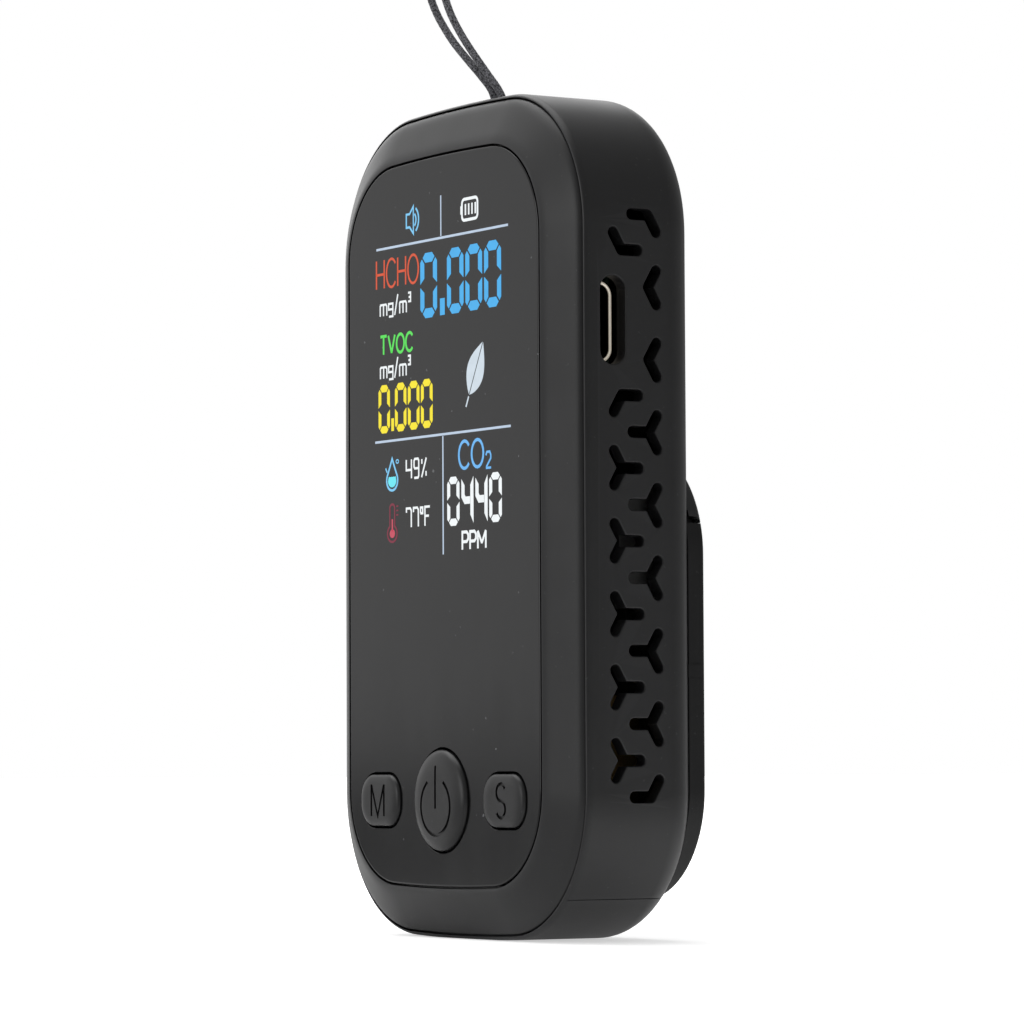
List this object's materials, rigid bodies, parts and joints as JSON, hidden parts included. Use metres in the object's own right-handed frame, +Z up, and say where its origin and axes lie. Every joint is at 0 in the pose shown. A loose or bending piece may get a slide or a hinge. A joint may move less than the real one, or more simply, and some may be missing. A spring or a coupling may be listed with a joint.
{
  "type": "air quality monitor",
  "caption": "Hand-sized air quality monitor: rounded black case, dark display lens, push keys, vented sides, charging port, fold-out rear stand and thin lanyard loop.",
  "frame": {"origin": "under the middle of the case, on the surface it stands on", "axes": "+X to the right seen from the front, +Y from the display to the back, +Z up along the tall side"},
  "size_m": [0.0534, 0.0207, 0.1353],
  "materials": {
    "housing_plastic": "satin black moulded plastic with a very fine grain",
    "key_plastic": "satin black",
    "lens": "gloss, near-black smoked acrylic",
    "black_steel": "blackened steel",
    "steel": "bright plated steel",
    "circuit_board": "green solder mask",
    "chip_plastic": "matt black moulding",
    "grey_plastic": "pale grey moulding",
    "flex_film": "amber film",
    "battery_foil": "crinkled pouch foil",
    "foam": "closed-cell foam",
    "ivory_plastic": "ivory nylon",
    "red_wire": "red insulation",
    "black_wire": "black insulation",
    "gold_can": "gold-plated sensor can",
    "cord_braid": "tightly braided dark grey cord"
  },
  "bodies": {
    "housing": {"rear_housing": "housing_plastic", "front_frame": "housing_plastic", "display_lens": "lens", "housing_screw_lower_left": "black_steel", "housing_screw_upper_left": "black_steel", "housing_screw_lower_right": "black_steel", "housing_screw_upper_right": "black_steel", "board_screw_left": "steel", "board_screw_right": "steel", "main_circuit_board": "circuit_board", "lcd_module": "chip_plastic", "lcd_flex_cable": "flex_film", "charging_port_shell": "steel", "charging_port_tongue": "chip_plastic", "battery_cell": "battery_foil", "battery_foam_pad": "foam", "battery_connector": "ivory_plastic", "battery_lead_positive": "red_wire", "battery_lead_negative": "black_wire", "formaldehyde_sensor": "grey_plastic", "carbon_dioxide_sensor": "gold_can", "organic_vapour_sensor": "black_steel", "climate_sensor": "chip_plastic", "alarm_buzzer": "chip_plastic", "controller_chip": "chip_plastic", "charger_chip": "chip_plastic", "power_switch_body": "chip_plastic", "mode_switch_body": "chip_plastic", "set_switch_body": "chip_plastic", "lanyard_cord": "cord_braid"},
    "power_key": {"power_button": "key_plastic", "power_switch_plunger": "grey_plastic"},
    "mode_key": {"mode_button": "key_plastic", "mode_switch_plunger": "grey_plastic"},
    "set_key": {"set_button": "key_plastic", "set_switch_plunger": "grey_plastic"},
    "stand": {"kickstand": "housing_plastic", "kickstand_hinge_pin": "steel"}
  },
  "joints": [
    {"name": "power_press", "type": "slide", "parent": "housing", "child": "power_key", "axis": [0, 1, 0], "range_m": [0, 0.0005], "stiffness_N_per_m": 800, "springref_m": -0.0005},
    {"name": "mode_press", "type": "slide", "parent": "housing", "child": "mode_key", "axis": [0, 1, 0], "range_m": [0, 0.0005], "stiffness_N_per_m": 800, "springref_m": -0.0005},
    {"name": "set_press", "type": "slide", "parent": "housing", "child": "set_key", "axis": [0, 1, 0], "range_m": [0, 0.0005], "stiffness_N_per_m": 800, "springref_m": -0.0005},
    {"name": "stand_fold", "type": "hinge", "parent": "housing", "child": "stand", "pos_m": [0, 0.00907, 0.0452], "axis": [1, 0, 0], "range_deg": [0, 60]}
  ]
}
